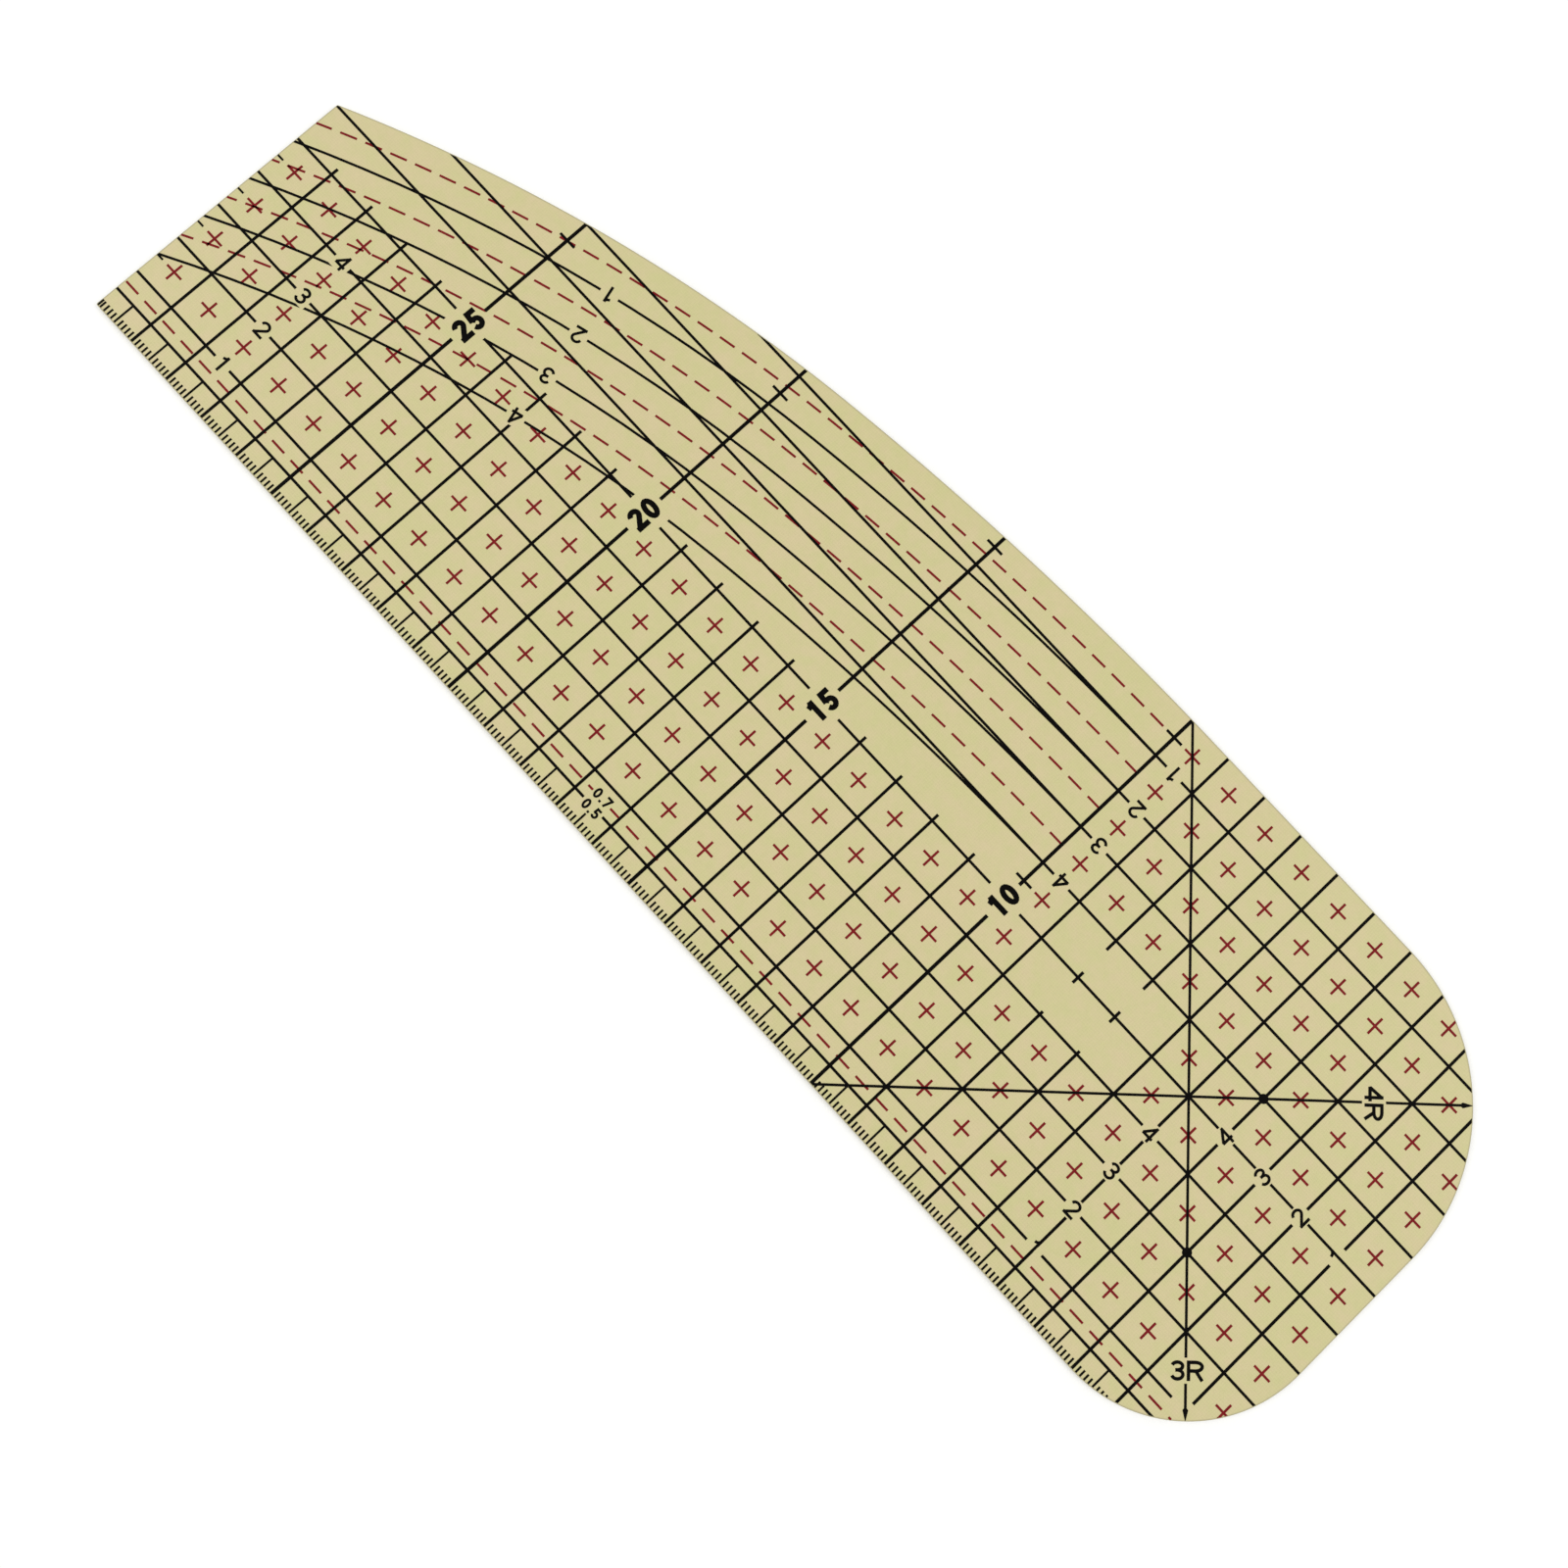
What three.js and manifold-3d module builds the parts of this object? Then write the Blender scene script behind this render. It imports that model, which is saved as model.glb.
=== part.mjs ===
// Quilting ruler: one flat die-cut sheet of heat-resistant laminate with a print on its top face.
// The black print is a centimetre grid with seam, hem, mitre and radius lines, and their numerals.
//
// Millimetres. The measuring edge is on the -Y side, the rounded head with the scale's zero is at
// +X, the narrow tail is at -X, and the printed face is up. The origin is under the sheet's middle.

import * as THREE from 'three';
import { mergeVertices } from 'three/addons/utils/BufferGeometryUtils.js';
import Module from 'manifold-3d';

const wasm = await Module();
wasm.setup();

// Sheet
const LENGTH = 300;
const WIDTH = 100;
const SHEET_THICKNESS = 1;
const LOWER_HEAD_RADIUS = 30;
const UPPER_HEAD_RADIUS = 40;

// Hem edge: straight from the head, then two tangent arcs that fall towards the tail
const HEM_CURVE_START = 95;
const FIRST_HEM_RADIUS = 703;
const FIRST_HEM_TURN = THREE.MathUtils.degToRad(7.8);
const SECOND_HEM_RADIUS = 362;

// Ink
const INK_THICKNESS = 0.05;
const BARE_RIM = 0.2;
const ROW_LINE = 0.53;
const COLUMN_LINE = 0.58;
const NUMBERED_LINE = 0.7;
const HEM_LINE = 0.49;
const DIAGONAL_LINE = 0.49;
const TICK_LINE = 0.41;

// The scale's unit, which its numerals count
const CENTIMETRE = 10;

// Grid, measured from the measuring edge (rows) and from the head (columns)
const SEAM_ROW = 5;
const BASE_ROW = 50;
const GRIDDED_HEAD = 90;
const NUMBERED_EVERY = 50;
const COLUMN_OVERSHOOT = 1.6;
const FIRST_ROW_HEAD_GAP = 13.6;
const FIRST_COLUMN_FOOT = 12;
const FIRST_HALF_TICK = 25;
const TAIL_TICK_LENGTH = 1.7;
const HALF_ROW_TICK_LENGTH = 4;
const HALF_ROW_TICKS = [
  { column: 100, row: 95 },
  { column: 100, row: 55 },
  { column: 150, row: 95 },
  { column: 200, row: 85 },
  { column: 250, row: 75 },
];

// Unprinted panels on both sides of the base row, where columns 70 and 80 stop
const PANEL_COLUMNS = [65, 85];
const PANEL_NEAR_ROW = 1.4;
const PANEL_BELOW = 9.2;
const PANEL_ABOVE = 7.5;

// Mitre and radius marks
const MITRE_COLUMN = 50;
const DOT_RADIUS = 0.95;
const ARROW_LENGTH = 2.7;
const ARROW_WIDTH = 1.05;
const RADIUS_LABEL_AT = 21;

// Type: a digit's height, stroke and width, the advance from one digit to the next, and the gap
// that the lines keep to the text at its ends and over and under it
const SMALL_TYPE = { height: 3.4, stroke: 0.53, width: 2.35, advance: 2.65, endGap: 0.68, sideGap: 0.3 };
const RADIUS_TYPE = { height: 3.6, stroke: 0.62, width: 2.7, advance: 3.1, endGap: 0.3, sideGap: 0.5 };
const SEAM_TYPE = { height: 2.15, stroke: 0.45, width: 1.4, advance: 1.75, endGap: 0.4, sideGap: 0.28 };
const BOLD_TYPE = { height: 4.5, stroke: 1.06, width: 2.82, advance: 3.2, endGap: 1, sideGap: 1.75 };

// Where the labels stand, and how far the text is shifted from the line's own place
const COUNT = 4;
const TAIL_LABELS = 275.3;
const HEM_HEAD_LABELS = 95;
const HEM_TAIL_LABELS = 236.5;
const HEM_TAIL_LABEL_STEP = 2;
const SEAM_LABELS = 165;
const SEAM_LABEL_RISE = 2.9;
const SEAM_LABEL_DROP = 0.45;
const NUMBERED_DROP = 0.4;
const SMALL_SHIFT = 0.2;
const STEM_GAP = 1.2;

const FLAT_TOLERANCE = 0.0005;
const ARC_STEPS = 8;
const GLYPH_ARC_STEP = 20;
const QUARTER = Math.PI / 2;

const headX = LENGTH / 2;
const tailX = -LENGTH / 2;
const measuringY = -WIDTH / 2;
const hemY = WIDTH / 2;
const column = (distance) => headX - distance;
const row = (distance) => measuringY + distance;

const firstCentre = new THREE.Vector2(column(HEM_CURVE_START), hemY - FIRST_HEM_RADIUS);
const secondCentre = new THREE.Vector2(-Math.sin(FIRST_HEM_TURN), Math.cos(FIRST_HEM_TURN))
  .multiplyScalar(FIRST_HEM_RADIUS - SECOND_HEM_RADIUS)
  .add(firstCentre);
const lowerHeadCentre = new THREE.Vector2(headX - LOWER_HEAD_RADIUS, row(LOWER_HEAD_RADIUS));
const upperHeadCentre = new THREE.Vector2(headX - UPPER_HEAD_RADIUS, hemY - UPPER_HEAD_RADIUS);

// ---- Solids ----

function solid(geometry) {
  const bare = geometry.clone();
  bare.deleteAttribute('normal');
  bare.deleteAttribute('uv');
  const merged = mergeVertices(bare);
  return new wasm.Manifold(new wasm.Mesh({
    numProp: 3,
    vertProperties: merged.getAttribute('position').array,
    triVerts: merged.getIndex().array,
  }));
}

function layer(shape, depth) {
  return new THREE.ExtrudeGeometry(shape, { depth, bevelEnabled: false, curveSegments: ARC_STEPS });
}

const inked = (shape) => solid(layer(shape, INK_THICKNESS));

// A tool deeper than the ink on both sides, so that it cuts right through
function tool(shape) {
  return solid(layer(shape, 3 * INK_THICKNESS).translate(0, 0, -INK_THICKNESS));
}

const join = (solids) => solids.reduce((whole, piece) => whole.add(piece));

// Flat faces that came from different pieces become one, so that no needless edges are left
const cleaned = (manifold) => manifold.asOriginal().simplify(FLAT_TOLERANCE);

function geometryOf(manifold) {
  const mesh = manifold.getMesh();
  const geometry = new THREE.BufferGeometry();
  geometry.setAttribute('position', new THREE.BufferAttribute(mesh.vertProperties, 3));
  geometry.setIndex(new THREE.BufferAttribute(mesh.triVerts, 1));
  return geometry;
}

// ---- Outlines ----

// Both arcs of a line that runs `inset` inside the hem edge, as far as endX
function addHemArcs(path, inset, endX) {
  const endTurn = hemTurn(endX, inset);
  path.absarc(firstCentre.x, firstCentre.y, FIRST_HEM_RADIUS - inset,
    QUARTER, QUARTER + FIRST_HEM_TURN, false);
  path.absarc(secondCentre.x, secondCentre.y, SECOND_HEM_RADIUS - inset,
    QUARTER + FIRST_HEM_TURN, QUARTER + endTurn, false);
  return path;
}

// How far the second arc has turned where it reaches x
function hemTurn(x, inset) {
  return Math.asin((secondCentre.x - x) / (SECOND_HEM_RADIUS - inset));
}

function hemPoint(x, inset) {
  const turn = hemTurn(x, inset);
  const height = secondCentre.y + (SECOND_HEM_RADIUS - inset) * Math.cos(turn);
  return { x, y: height, turn };
}

function sheetOutline(inset) {
  const shape = new THREE.Shape();
  shape.moveTo(tailX + inset, measuringY + inset);
  shape.lineTo(lowerHeadCentre.x, measuringY + inset);
  shape.absarc(lowerHeadCentre.x, lowerHeadCentre.y, LOWER_HEAD_RADIUS - inset, -QUARTER, 0, false);
  shape.absarc(upperHeadCentre.x, upperHeadCentre.y, UPPER_HEAD_RADIUS - inset, 0, QUARTER, false);
  return addHemArcs(shape, inset, tailX + inset);
}

function polygon(points) {
  return new THREE.Shape(points.map(([x, y]) => new THREE.Vector2(x, y)));
}

function box(left, right, bottom, top) {
  return polygon([[left, bottom], [right, bottom], [right, top], [left, top]]);
}

// A strip of constant width along a line of points, with square ends
function strip(points, width) {
  const left = [];
  const right = [];
  points.forEach((point, i) => {
    const before = points[Math.max(i - 1, 0)];
    const after = points[Math.min(i + 1, points.length - 1)];
    const along = new THREE.Vector2().subVectors(after, before).normalize();
    const across = new THREE.Vector2(-along.y, along.x).multiplyScalar(width / 2);
    left.push(point.clone().add(across));
    right.unshift(point.clone().sub(across));
  });
  return new THREE.Shape([...right, ...left].reverse());
}

function line(x0, y0, x1, y1, width) {
  return strip([new THREE.Vector2(x0, y0), new THREE.Vector2(x1, y1)], width);
}

// ---- Line network ----

function rows() {
  const firstRow = line(tailX, row(CENTIMETRE), column(FIRST_ROW_HEAD_GAP), row(CENTIMETRE), ROW_LINE);
  const shapes = [line(tailX, row(SEAM_ROW), headX, row(SEAM_ROW), ROW_LINE), firstRow];
  for (let distance = 2 * CENTIMETRE; distance < WIDTH; distance += CENTIMETRE) {
    shapes.push(line(tailX, row(distance), headX, row(distance), ROW_LINE));
  }
  return shapes;
}

function columns() {
  const shapes = [];
  for (let distance = CENTIMETRE; distance < LENGTH; distance += CENTIMETRE) {
    const x = column(distance);
    const numbered = distance > GRIDDED_HEAD && distance % NUMBERED_EVERY === 0;
    const foot = distance === CENTIMETRE ? FIRST_COLUMN_FOOT : 0;
    const full = numbered || distance <= GRIDDED_HEAD;
    const top = full ? WIDTH : BASE_ROW + COLUMN_OVERSHOOT;
    shapes.push(line(x, row(foot), x, row(top), numbered ? NUMBERED_LINE : COLUMN_LINE));
  }
  return shapes;
}

function ticks() {
  const shapes = [];
  for (let distance = FIRST_HALF_TICK; distance < LENGTH; distance += CENTIMETRE) {
    const x = column(distance);
    shapes.push(line(x, row(0), x, row(SEAM_ROW), TICK_LINE));
  }
  for (let distance = 1.5 * CENTIMETRE; distance < BASE_ROW; distance += CENTIMETRE) {
    shapes.push(line(tailX, row(distance), tailX + TAIL_TICK_LENGTH, row(distance), TICK_LINE));
  }
  const reach = HALF_ROW_TICK_LENGTH / 2;
  for (const tick of HALF_ROW_TICKS) {
    const x = column(tick.column);
    shapes.push(line(x - reach, row(tick.row), x + reach, row(tick.row), ROW_LINE));
  }
  return shapes;
}

function hemLines() {
  const shapes = [];
  for (let inset = CENTIMETRE; inset <= COUNT * CENTIMETRE; inset += CENTIMETRE) {
    const outer = addHemArcs(new THREE.Path(), inset - HEM_LINE / 2, tailX);
    const inner = addHemArcs(new THREE.Path(), inset + HEM_LINE / 2, tailX);
    shapes.push(new THREE.Shape([
      ...outer.getPoints(ARC_STEPS),
      ...inner.getPoints(ARC_STEPS).reverse(),
    ]));
  }
  return shapes;
}

// Mitre lines leave the base row at 45 degrees, and radius lines run on through each corner's centre
function mitreLines() {
  const x = column(MITRE_COLUMN);
  const y = row(BASE_ROW);
  const rise = WIDTH - BASE_ROW;
  return [
    line(x, y, x - rise, y + rise, DIAGONAL_LINE),
    line(x, y, x - BASE_ROW, row(0), DIAGONAL_LINE),
    line(x, y, lowerHeadCentre.x, lowerHeadCentre.y, DIAGONAL_LINE),
    line(x, y, upperHeadCentre.x, upperHeadCentre.y, DIAGONAL_LINE),
  ];
}

function radiusMark(centre, radius, angle) {
  const out = new THREE.Vector2(Math.cos(angle), Math.sin(angle));
  const across = new THREE.Vector2(-out.y, out.x).multiplyScalar(ARROW_WIDTH / 2);
  const tip = centre.clone().addScaledVector(out, radius);
  const neck = centre.clone().addScaledVector(out, radius - ARROW_LENGTH);
  const waist = neck.clone().addScaledVector(out, ARROW_LENGTH / 4);
  const dot = new THREE.Shape().absarc(centre.x, centre.y, DOT_RADIUS, 0, 2 * Math.PI, false);
  const arrow = new THREE.Shape([neck, waist.clone().sub(across), tip, waist.clone().add(across)]);
  return [dot, arrow, strip([centre, neck.clone().lerp(tip, 0.5)], DIAGONAL_LINE)];
}

function panels() {
  const [near, far] = PANEL_COLUMNS;
  const middle = row(BASE_ROW);
  return [
    box(column(far), column(near), middle - PANEL_BELOW, middle - PANEL_NEAR_ROW),
    box(column(far), column(near), middle + PANEL_NEAR_ROW, middle + PANEL_ABOVE),
  ];
}

// ---- Numerals ----

function arc(x, y, radiusX, radiusY, from, to) {
  const start = THREE.MathUtils.degToRad(from);
  const end = THREE.MathUtils.degToRad(to);
  const curve = new THREE.EllipseCurve(x, y, radiusX, radiusY, start, end, to < from);
  return curve.getPoints(Math.ceil(Math.abs(to - from) / GLYPH_ARC_STEP));
}

// Two half turns that lap a little
const ring = (x, y, radiusX, radiusY) => [
  arc(x, y, radiusX, radiusY, -5, 185),
  arc(x, y, radiusX, radiusY, 175, 365),
];

const points = (...pairs) => pairs.map(([x, y]) => new THREE.Vector2(x, y));

// Each character is a few strokes of width `t` in a box of `w` by `h`, with its foot at y = 0
const STROKES = {
  0: (w, h, t) => ring(w / 2, h / 2, (w - t) / 2, (h - t) / 2),
  1: (w, h) => [
    points([0.58 * w, 0], [0.58 * w, h]),
    arc(0.2 * w, h, 0.38 * w, 0.23 * h, -2, -90),
  ],
  2: (w, h, t) => [
    [...arc(w / 2, 0.7 * h, (w - t) / 2, 0.3 * h - t / 2, 175, -40), ...points([t / 2, t / 2])],
    points([0, t / 2], [w, t / 2]),
  ],
  3: (w, h, t) => [
    arc(w / 2, 0.765 * h - t / 4, 0.94 * (w - t) / 2, 0.235 * h - t / 4, 165, -90),
    arc(w / 2, 0.265 * h + t / 4, (w - t) / 2, 0.265 * h - t / 4, 90, -165),
    points([0.36 * w, 0.53 * h], [0.56 * w, 0.53 * h]),
  ],
  4: (w, h, t) => [
    points([0.74 * w, 0], [0.74 * w, h]),
    points([0, 0.29 * h], [w, 0.29 * h]),
    points([0.2 * t, 0.29 * h], [0.74 * w, h - t / 2]),
  ],
  5: (w, h, t) => [
    points([0.14 * w, h - t / 2], [0.94 * w, h - t / 2]),
    points([0.14 * w + t / 2, h], [0.06 * w + t / 2, 0.46 * h]),
    arc(w / 2, 0.33 * h, (w - t) / 2, 0.33 * h - t / 2, 145, -160),
  ],
  6: (w, h, t) => [
    ...ring(w / 2, 0.32 * h, (w - t) / 2, 0.32 * h - t / 2),
    arc(w / 2, h / 2, (w - t) / 2, (h - t) / 2, 200, 35),
  ],
  7: (w, h, t) => [
    points([0, h - t / 2], [w, h - t / 2]),
    points([w - t / 2, h - t / 2], [0.32 * w, 0]),
  ],
  8: (w, h, t) => [
    ...ring(w / 2, 0.765 * h - t / 4, 0.94 * (w - t) / 2, 0.235 * h - t / 4),
    ...ring(w / 2, 0.265 * h + t / 4, (w - t) / 2, 0.265 * h - t / 4),
  ],
  9: (w, h, t) => [
    ...ring(w / 2, 0.68 * h, (w - t) / 2, 0.32 * h - t / 2),
    arc(w / 2, h / 2, (w - t) / 2, (h - t) / 2, 20, -145),
  ],
  R: (w, h, t) => [
    points([t / 2, 0], [t / 2, h]),
    [
      ...points([t / 2, h - t / 2]),
      ...arc(0.62 * w, 0.745 * h - t / 4, 0.38 * w + t / 4, 0.255 * h - t / 4, 90, -90),
      ...points([t / 2, 0.49 * h]),
    ],
    points([0.62 * w, 0.49 * h], [w + t / 4, 0]),
  ],
  '.': (w, h, t) => [points([w / 2 - t / 2, t / 2], [w / 2 + t / 2, t / 2])],
};
const CHARACTER_NAMES = { '.': 'point', R: 'letter' };

const advanceOf = (character, type) => (character === '.' ? type.advance / 2 : type.advance);

function lengthOf({ text, type }) {
  return [...text].reduce((sum, character) => sum + advanceOf(character, type), 0);
}

// The solids of a label's characters, set in one line about its middle and turned into place
function characters(label) {
  const { type, text } = label;
  let start = -lengthOf(label) / 2;
  return [...text].map((character) => {
    const advance = advanceOf(character, type);
    const strokes = STROKES[character](type.width, type.height, type.stroke);
    const ink = cleaned(join(strokes.map((stroke) => inked(strip(stroke, type.stroke)))));
    const offset = start + (advance - type.width) / 2;
    start += advance;
    const turned = geometryOf(ink)
      .translate(offset, -type.height / 2, 0)
      .rotateZ(label.angle)
      .translate(label.x, label.y, 0);
    return solid(turned);
  });
}

// The gap that a label leaves in the lines under it. A numeral whose stem joins a line leaves that
// line whole but for a short cut, which the stem fills.
function clearing(label) {
  const { type } = label;
  const along = lengthOf(label) / 2 + type.endGap;
  const across = label.joined ? STEM_GAP / 2 : type.height / 2 + type.sideGap;
  const gap = layer(box(-along, along, -across, across), 3 * INK_THICKNESS);
  return solid(gap.translate(0, 0, -INK_THICKNESS).rotateZ(label.angle).translate(label.x, label.y, 0));
}

function numberedColumnLabels() {
  const labels = [];
  for (let distance = 2 * NUMBERED_EVERY; distance < LENGTH; distance += NUMBERED_EVERY) {
    const text = String(distance / CENTIMETRE);
    const place = { x: column(distance), y: row(BASE_ROW) - NUMBERED_DROP, angle: QUARTER };
    labels.push({ name: `column_${text}`, text, type: BOLD_TYPE, ...place });
  }
  return labels;
}

function smallLabels() {
  const labels = [];
  const add = (name, count, place) => {
    labels.push({ name, text: String(count), type: SMALL_TYPE, ...place });
  };
  for (let count = 1; count <= COUNT; count += 1) {
    const reach = count * CENTIMETRE;
    const joined = count === 1;
    const besideColumn = { x: column(MITRE_COLUMN) - SMALL_SHIFT, y: row(reach), angle: 0, joined };
    const underRow = { x: column(reach), y: row(BASE_ROW) - SMALL_SHIFT, angle: QUARTER, joined };
    add(`row_${count}_tail`, count, { x: column(TAIL_LABELS), y: row(reach), angle: 0 });
    add(`row_${count}_head`, count, besideColumn);
    add(`head_${count}`, count, underRow);
    add(`hem_${count}_head`, count, { x: column(HEM_HEAD_LABELS), y: hemY - reach, angle: Math.PI });
    const distance = HEM_TAIL_LABELS - (count - 1) * HEM_TAIL_LABEL_STEP;
    const spot = hemPoint(column(distance), reach);
    add(`hem_${count}_tail`, count, { x: spot.x, y: spot.y, angle: Math.PI + spot.turn });
  }
  return labels;
}

function seamLabels() {
  const place = { x: column(SEAM_LABELS), angle: 0, type: SEAM_TYPE };
  const y = row(SEAM_ROW) - SEAM_LABEL_DROP;
  return [
    { name: 'seam_05', text: '0.5', y, ...place },
    { name: 'seam_07', text: '0.7', y: y + SEAM_LABEL_RISE, ...place },
  ];
}

function radiusLabel(centre, radius, side) {
  const reach = RADIUS_LABEL_AT * Math.SQRT1_2;
  const text = `${radius / CENTIMETRE}R`;
  const place = { x: centre.x + reach, y: centre.y + side * reach, angle: -side * QUARTER / 2 };
  return { name: `radius_${side < 0 ? 'lower' : 'upper'}`, text, type: RADIUS_TYPE, ...place };
}

// ---- Assembly ----

const laminate = new THREE.MeshStandardMaterial({ color: 0xd6cf9b, roughness: 0.6, metalness: 0 });
const blackInk = new THREE.MeshStandardMaterial({ color: 0x0c0b09, roughness: 0.5, metalness: 0 });

const ruler = new THREE.Group();
const sheet = new THREE.Mesh(layer(sheetOutline(0), SHEET_THICKNESS), laminate);
sheet.name = 'ruler_sheet';
ruler.add(sheet);

const print = new THREE.Group();
print.position.z = SHEET_THICKNESS;
ruler.add(print);

function addInk(name, manifold) {
  const mesh = new THREE.Mesh(geometryOf(manifold), blackInk);
  mesh.name = name;
  print.add(mesh);
}

const labels = [
  ...numberedColumnLabels(),
  ...smallLabels(),
  ...seamLabels(),
  radiusLabel(lowerHeadCentre, LOWER_HEAD_RADIUS, -1),
  radiusLabel(upperHeadCentre, UPPER_HEAD_RADIUS, 1),
];
const lines = join([
  ...rows(),
  ...columns(),
  ...ticks(),
  ...hemLines(),
  ...mitreLines(),
  ...radiusMark(lowerHeadCentre, LOWER_HEAD_RADIUS, -QUARTER / 2),
  ...radiusMark(upperHeadCentre, UPPER_HEAD_RADIUS, QUARTER / 2),
].map(inked));
const gaps = join([...labels.map(clearing), ...panels().map(tool)]);
const joinedNumerals = join(labels.filter((label) => label.joined).flatMap(characters));
const network = lines.intersect(tool(sheetOutline(BARE_RIM))).subtract(gaps).add(joinedNumerals);

// The gaps cut some short lines free of the network, and each of those is a piece of its own
const islands = cleaned(network).decompose().sort((a, b) => b.volume() - a.volume());
addInk('line_network', islands[0]);
islands.slice(1).forEach((island, i) => addInk(`short_line_${i + 1}`, island));

for (const label of labels.filter((each) => !each.joined)) {
  characters(label).forEach((ink, i) => {
    const character = label.text[i];
    addInk(`${label.name}_${CHARACTER_NAMES[character] ?? `digit_${i + 1}`}`, ink);
  });
}

export default ruler;
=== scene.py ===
"""Quilting ruler: a die-cut sheet of heat-resistant laminate, printed in black and red on its top face.

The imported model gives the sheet's box and the black print. This script makes the sheet with true
arcs and a soft cut edge, the millimetre ticks, the red crosses and the red dashed lines, gives every
piece its finish, and sets the stage. Lengths are in metres.
"""

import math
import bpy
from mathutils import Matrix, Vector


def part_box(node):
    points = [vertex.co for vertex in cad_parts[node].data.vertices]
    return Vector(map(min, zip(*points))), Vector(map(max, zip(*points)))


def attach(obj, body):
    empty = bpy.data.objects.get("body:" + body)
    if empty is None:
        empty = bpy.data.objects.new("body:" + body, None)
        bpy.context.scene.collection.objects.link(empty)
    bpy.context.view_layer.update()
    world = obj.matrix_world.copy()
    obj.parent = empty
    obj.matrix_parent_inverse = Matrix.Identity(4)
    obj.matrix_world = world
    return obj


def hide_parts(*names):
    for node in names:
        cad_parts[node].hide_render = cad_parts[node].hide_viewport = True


bl_info = {
    "name": "Quilting Ruler",
    "version": (1, 0, 0),
    "blender": (4, 5, 0),
    "location": "View3D > Sidebar > Ruler",
    "description": "Builds a printed quilting ruler round its packed model",
    "category": "Add Mesh",
}

import bmesh
import bpy
from bpy.props import FloatProperty, FloatVectorProperty, IntProperty, PointerProperty
from mathutils import Vector

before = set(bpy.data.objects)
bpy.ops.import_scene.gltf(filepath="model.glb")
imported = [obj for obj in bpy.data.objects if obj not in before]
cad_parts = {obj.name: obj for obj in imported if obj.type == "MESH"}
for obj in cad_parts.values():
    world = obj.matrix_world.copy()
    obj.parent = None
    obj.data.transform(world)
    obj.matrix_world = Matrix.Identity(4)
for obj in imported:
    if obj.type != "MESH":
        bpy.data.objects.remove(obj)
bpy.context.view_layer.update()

SHEET_LOW, SHEET_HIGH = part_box("ruler_sheet")
TOP = SHEET_HIGH.z
MIDDLE = (SHEET_LOW + SHEET_HIGH) / 2
CENTIMETRE = 0.01
MILLIMETRE = 0.001
QUARTER = math.pi / 2
BODY = "root"
RIM_ATTRIBUTE = "rim"

# Steps that the outline's round stretches are drawn in
HEAD_CORNER_STEPS = 60
HEM_STEPS = (36, 60)
TAIL_CORNER_STEPS = 8
EDGE_STEPS = 4

# Grid cells, counted from the head and from the measuring edge. Over the base row only the head is
# gridded, and two panels beside the base row are bare.
BASE_ROW = 5
HEAD_CELLS = 10
PANEL_CELLS_ACROSS = (6, 7, 8)
PANEL_CELLS_UP = (BASE_ROW - 1, BASE_ROW)

# Where each hem line's first dash starts, from the head's last column line. A start just short of
# that line makes the first dash touch it.
HEM_DASH_STARTS = (0.0030, -0.00025, -0.00025, -0.00025)
SAME_PLACE = 1e-6

# The stage
TABLE_HALF = 6.0
TABLE_GAP = 0.00002
SOFTBOX_SIZE = 0.9
SOFTBOX_PLACES = {"left": (-0.9, -0.5, 1.1), "right": (0.9, 0.6, 1.1)}
SENSOR_WIDTH = 36
NEAREST_SEEN = 0.01


# ---- Settings ----


def length(name, description, default):
    """A property that holds a length in metres."""
    return FloatProperty(
        name=name, description=description, default=default, unit="LENGTH", precision=5
    )


def colour(name, description, default):
    """A property that holds a linear colour."""
    return FloatVectorProperty(
        name=name, description=description, default=default, subtype="COLOR", min=0, max=1
    )


class SheetSettings(bpy.types.PropertyGroup):
    lower_head_radius: length("Lower Head Radius", "Head corner at the measuring edge", 0.030)
    upper_head_radius: length("Upper Head Radius", "Head corner at the hem edge", 0.040)
    hem_curve_start: length("Hem Curve Start", "Straight stretch of the hem edge, from the head", 0.095)
    first_hem_radius: length("First Hem Radius", "Radius of the hem edge's first arc", 0.703)
    first_hem_turn: FloatProperty(
        name="First Hem Turn",
        description="Angle that the hem edge's first arc turns",
        default=math.radians(7.8),
        subtype="ANGLE",
    )
    second_hem_radius: length("Second Hem Radius", "Radius of the hem edge's second arc", 0.362)
    tail_corner_radius: length("Tail Corner Radius", "Blunting of the two tail corners", 0.0003)
    edge_softness: length("Edge Softness", "Rounding that the cutter leaves along the edge", 0.00012)
    # This band along the cut edge is painted edge shade: the faces darken towards the cut tone across its
    # width.
    shaded_rim_band: length("Shaded Rim Band", "Width of the band that hands and irons have toned", 0.0004)
    weave_pitch: length("Weave Pitch", "Spacing of the glass yarns", 0.00052)
    ply_pitch: length("Ply Pitch", "Thickness of one cloth layer in the cut edge", 0.00017)
    cool_tone: colour("Cool Tone", "Resin over the greener patches", (0.536, 0.507, 0.240))
    warm_tone: colour("Warm Tone", "Resin over the warmer patches", (0.586, 0.498, 0.282))
    # The cut tone is the cut edge's colour, darkened as painted edge shade.
    cut_and_shade_tone: colour("Cut And Shade Tone", "Bare glass and resin in the cut edge", (0.450, 0.405, 0.235))


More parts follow.
